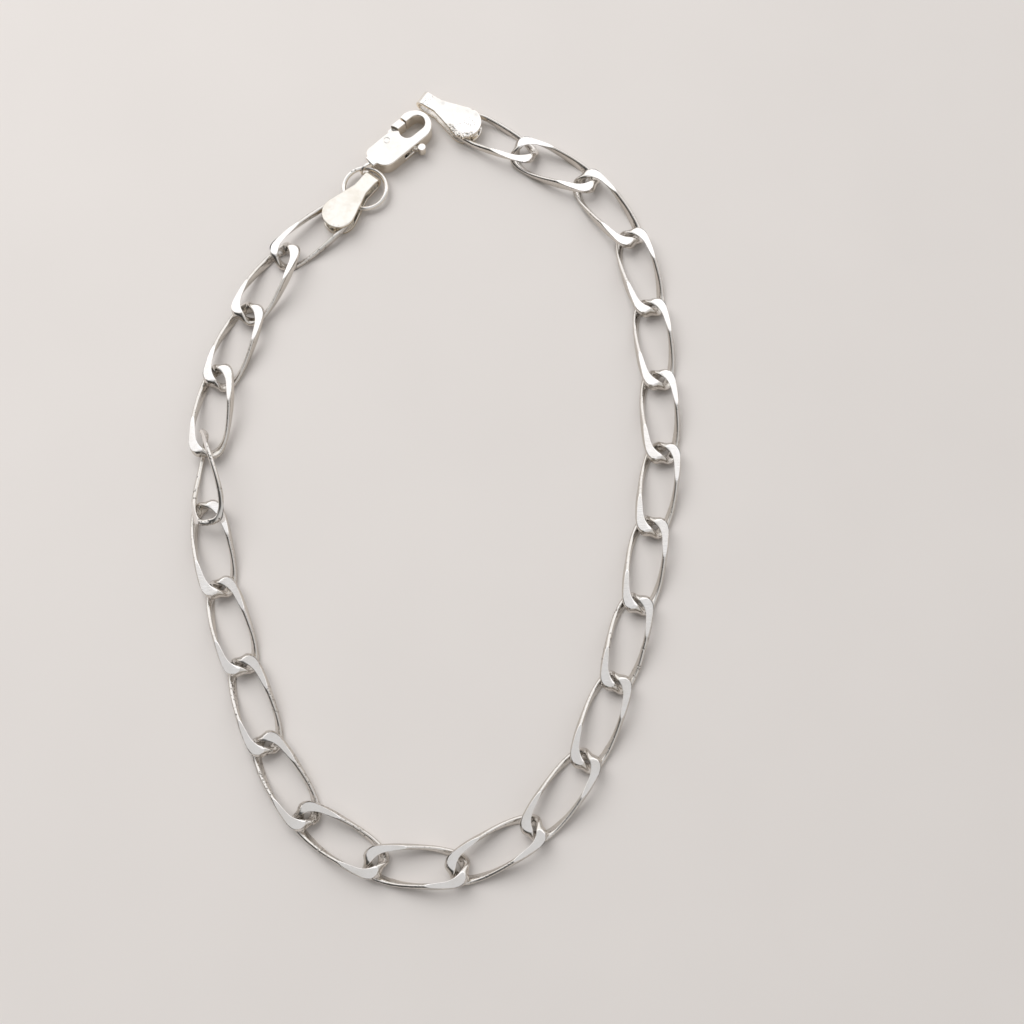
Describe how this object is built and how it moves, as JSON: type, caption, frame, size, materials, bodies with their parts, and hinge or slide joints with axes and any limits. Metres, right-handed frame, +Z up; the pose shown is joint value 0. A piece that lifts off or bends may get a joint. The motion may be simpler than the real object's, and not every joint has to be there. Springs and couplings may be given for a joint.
{
  "type": "link bracelet",
  "caption": "Silver bracelet of long twisted curb links with flat milled faces, two folded end tags, a jump ring and a lobster clasp with a sprung lever, lying open.",
  "frame": {"origin": "on the table under the middle of the whole bracelet's outline", "axes": "+Y from the bottom of the loop to the clasp, +X to the right, +Z up from the table"},
  "size_m": [0.0464, 0.0776, 0.0034],
  "materials": {
    "link_silver": "polished",
    "tag_silver": "polished",
    "ring_silver": "polished",
    "clasp_silver": "polished"
  },
  "bodies": {
    "bracelet": {"clasp_body": "clasp_silver", "clasp_pin": "clasp_silver", "jump_ring": "ring_silver", "tag_clasp_end": "tag_silver", "tag_free_end": "tag_silver", "link_01": "link_silver", "link_02": "link_silver", "link_03": "link_silver", "link_04": "link_silver", "link_05": "link_silver", "link_06": "link_silver", "link_07": "link_silver", "link_08": "link_silver", "link_09": "link_silver", "link_10": "link_silver", "link_11": "link_silver", "link_12": "link_silver", "link_13": "link_silver", "link_14": "link_silver", "link_15": "link_silver", "link_16": "link_silver", "link_17": "link_silver", "link_18": "link_silver", "link_19": "link_silver", "link_20": "link_silver", "link_21": "link_silver", "link_22": "link_silver", "link_23": "link_silver"},
    "lever": {"clasp_lever": "clasp_silver"}
  },
  "joints": [
    {"name": "lever_hinge", "type": "hinge", "parent": "bracelet", "child": "lever", "pos_m": [-0.00597, 0.03293, 0.0008], "axis": [0, 0, 1], "range_deg": [-22, 0], "stiffness_Nm_per_rad": 0.002, "springref_deg": 11.46}
  ]
}
